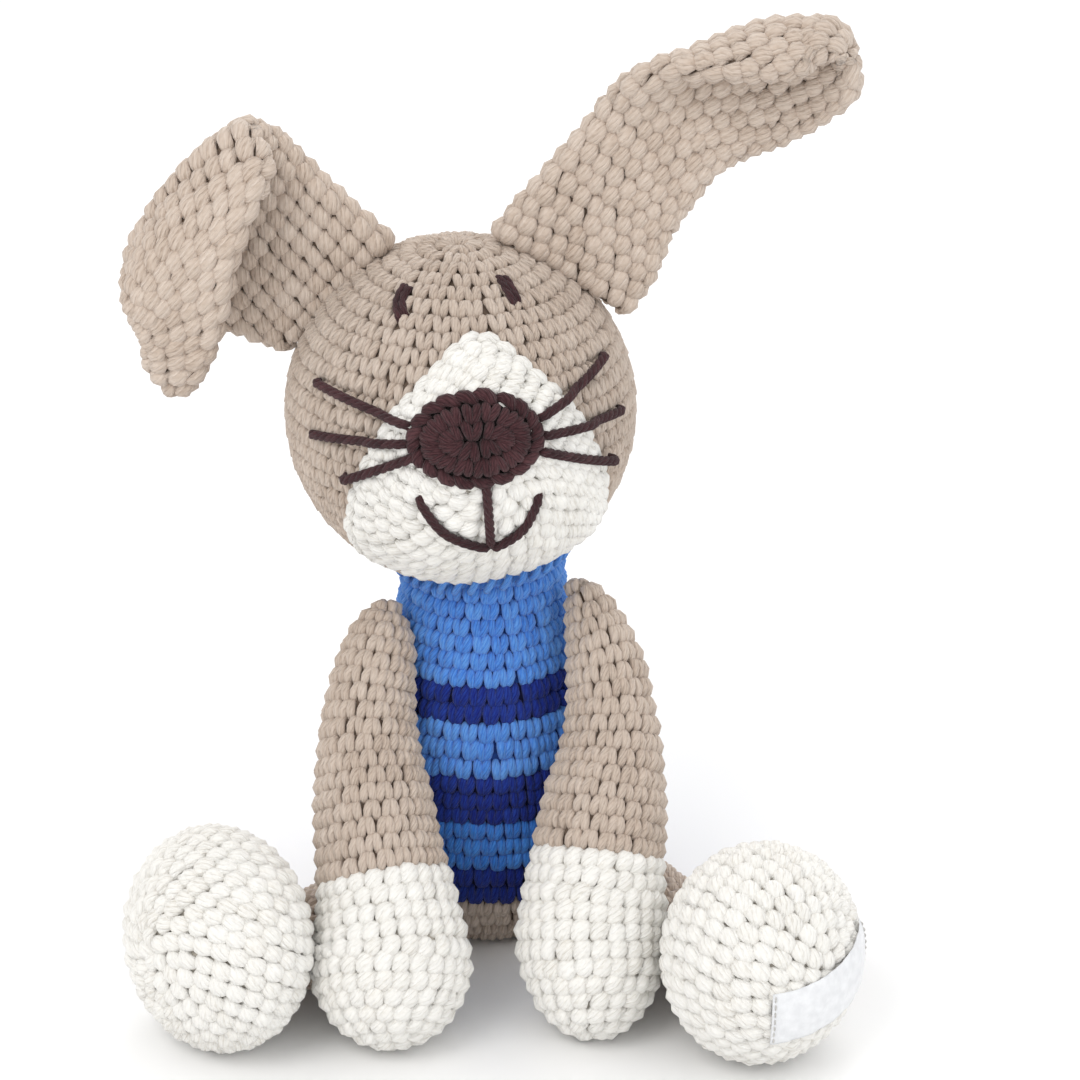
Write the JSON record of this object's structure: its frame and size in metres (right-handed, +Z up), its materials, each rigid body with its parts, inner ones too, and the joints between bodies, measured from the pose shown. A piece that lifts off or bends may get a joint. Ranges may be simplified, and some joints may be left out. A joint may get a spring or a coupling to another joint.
{
  "type": "stuffed rabbit toy",
  "caption": "Crocheted stuffed rabbit, sitting, with a striped torso, round head, embroidered face, long ears, and jointed head, arms, legs and ears.",
  "frame": {"origin": "bottom centre of the toy's bounding box, on the surface it sits on", "axes": "+Z up, the rabbit faces -Y, +X is the rabbit's own left"},
  "size_m": [0.2054, 0.1624, 0.2739],
  "materials": {
    "yarn_beige": "matte",
    "yarn_white": "matte",
    "yarn_sky": "matte",
    "yarn_blue": "matte",
    "yarn_navy": "matte",
    "yarn_brown": "matte",
    "fibrefill": "matte",
    "thread": "matte",
    "ribbon": "satin"
  },
  "bodies": {
    "torso": {"torso_base": "yarn_beige", "torso_stripe_navy_low": "yarn_navy", "torso_stripe_blue": "yarn_blue", "torso_stripe_navy_mid": "yarn_navy", "torso_stripe_sky": "yarn_sky", "torso_stripe_navy_high": "yarn_navy", "torso_collar": "yarn_sky", "torso_stuffing": "fibrefill", "tail_fabric": "yarn_white", "tail_stuffing": "fibrefill"},
    "neck": {"neck_seam": "yarn_beige"},
    "head": {"head_fabric": "yarn_beige", "head_stuffing": "fibrefill", "muzzle": "yarn_white", "nose": "yarn_brown", "eye_right": "yarn_brown", "eye_left": "yarn_brown", "whisker_right_upper": "yarn_brown", "whisker_right_middle": "yarn_brown", "whisker_right_lower": "yarn_brown", "whisker_left_upper": "yarn_brown", "whisker_left_middle": "yarn_brown", "whisker_left_lower": "yarn_brown", "mouth_stem": "yarn_brown", "mouth_right": "yarn_brown", "mouth_left": "yarn_brown"},
    "ear_right": {"ear_right_base": "yarn_beige"},
    "ear_right_end": {"ear_right_tip": "yarn_beige"},
    "arm_right": {"arm_right_sleeve": "yarn_beige", "arm_right_hand": "yarn_white", "arm_right_stuffing": "fibrefill"},
    "hip_right": {"hip_right_knot": "thread"},
    "leg_right": {"leg_right_fabric": "yarn_beige", "leg_right_stuffing": "fibrefill", "foot_right_fabric": "yarn_white", "foot_right_stuffing": "fibrefill"},
    "ear_left": {"ear_left_base": "yarn_beige"},
    "ear_left_end": {"ear_left_tip": "yarn_beige"},
    "arm_left": {"arm_left_sleeve": "yarn_beige", "arm_left_hand": "yarn_white", "arm_left_stuffing": "fibrefill"},
    "hip_left": {"hip_left_knot": "thread"},
    "leg_left": {"leg_left_fabric": "yarn_beige", "leg_left_stuffing": "fibrefill", "foot_left_fabric": "yarn_white", "foot_left_stuffing": "fibrefill", "foot_label": "ribbon"}
  },
  "joints": [
    {"name": "neck_turn", "type": "hinge", "parent": "torso", "child": "neck", "pos_m": [-0.00886, 0.02675, 0.161], "axis": [-0.1361, -0.0454, 0.9897], "range_deg": [-35, 35]},
    {"name": "head_nod", "type": "hinge", "parent": "neck", "child": "head", "pos_m": [-0.00886, 0.02675, 0.161], "axis": [-1, 0, 0], "range_deg": [-8, 20]},
    {"name": "ear_right_flap", "type": "hinge", "parent": "head", "child": "ear_right", "pos_m": [-0.04475, 0.02999, 0.19609], "axis": [0.7001, 0, 0.7141], "range_deg": [-20, 20]},
    {"name": "ear_right_fold", "type": "hinge", "parent": "ear_right", "child": "ear_right_end", "pos_m": [-0.0845, 0.028, 0.22648], "axis": [-0.617, 0, -0.787], "range_deg": [0, 75]},
    {"name": "shoulder_right_swing", "type": "hinge", "parent": "torso", "child": "arm_right", "pos_m": [-0.03036, 0.00975, 0.0985], "axis": [-1, 0, 0], "range_deg": [0, 75]},
    {"name": "hip_right_lift", "type": "hinge", "parent": "torso", "child": "hip_right", "pos_m": [-0.03827, -0.00305, 0.0132], "axis": [-0.75, 0.6614, 0], "range_deg": [-60, 0]},
    {"name": "hip_right_spread", "type": "hinge", "parent": "hip_right", "child": "leg_right", "pos_m": [-0.03827, -0.00305, 0.0132], "axis": [0, 0, -1], "range_deg": [0, 35]},
    {"name": "ear_left_flap", "type": "hinge", "parent": "head", "child": "ear_left", "pos_m": [0.02015, 0.02883, 0.20203], "axis": [0.8473, 0, -0.5312], "range_deg": [-20, 20]},
    {"name": "ear_left_fold", "type": "hinge", "parent": "ear_left", "child": "ear_left_end", "pos_m": [0.0427, 0.02675, 0.23474], "axis": [0.6569, 0, -0.7539], "range_deg": [0, 75]},
    {"name": "shoulder_left_swing", "type": "hinge", "parent": "torso", "child": "arm_left", "pos_m": [0.02454, 0.01175, 0.1064], "axis": [-1, 0, 0], "range_deg": [0, 75]},
    {"name": "hip_left_lift", "type": "hinge", "parent": "torso", "child": "hip_left", "pos_m": [0.04013, 0.00835, 0.0132], "axis": [-0.8695, -0.494, 0], "range_deg": [-60, 0]},
    {"name": "hip_left_spread", "type": "hinge", "parent": "hip_left", "child": "leg_left", "pos_m": [0.04013, 0.00835, 0.0132], "axis": [0, 0, 1], "range_deg": [0, 35]}
  ]
}
